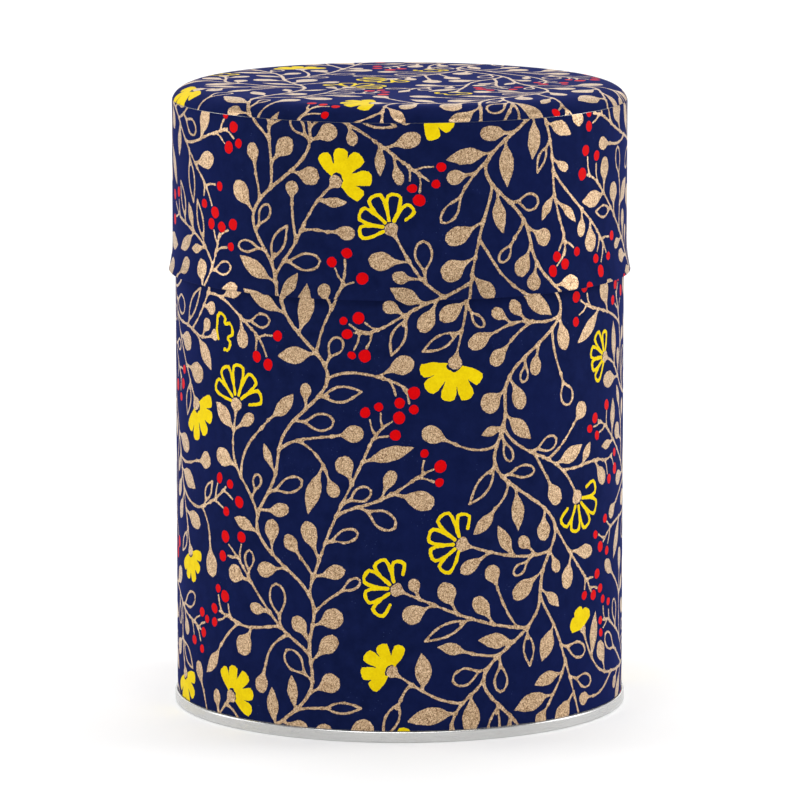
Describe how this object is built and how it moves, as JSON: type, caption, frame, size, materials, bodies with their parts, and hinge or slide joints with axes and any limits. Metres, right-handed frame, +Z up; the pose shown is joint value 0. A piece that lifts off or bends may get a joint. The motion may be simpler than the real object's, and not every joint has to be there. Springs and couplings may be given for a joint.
{
  "type": "spice tin",
  "caption": "Round paper-covered tin for spice or tea: deep slip-on lid with a flared edge, plug-in inner lid with a knob, and a seamed base.",
  "frame": {"origin": "centre of the tin's footprint, on the surface it stands on", "axes": "+Z up along the tin's axis, -Y towards the viewer, +Y towards the paper overlaps and the side seam"},
  "size_m": [0.0844, 0.0845, 0.114],
  "materials": {
    "tinplate": "satin",
    "knob_plate": "polished",
    "printed_paper": "satin",
    "sealing_compound": "matt"
  },
  "bodies": {
    "tin_body": {"body_tube": "tinplate", "base_end": "tinplate", "base_seam_compound": "sealing_compound", "body_wrap": "printed_paper"},
    "inner_lid": {"inner_lid_pan": "tinplate", "knob_eyelet": "knob_plate", "knob_crown": "knob_plate", "knob_washer": "tinplate"},
    "outer_lid": {"lid_shell": "tinplate", "lid_side_wrap": "printed_paper", "lid_top_wrap": "printed_paper"}
  },
  "joints": [
    {"name": "inner_lid_lift", "type": "slide", "parent": "tin_body", "child": "inner_lid", "axis": [0, 0, 1], "range_m": [0, 0.09]},
    {"name": "outer_lid_lift", "type": "slide", "parent": "inner_lid", "child": "outer_lid", "axis": [0, 0, 1], "range_m": [0, 0.06]}
  ]
}
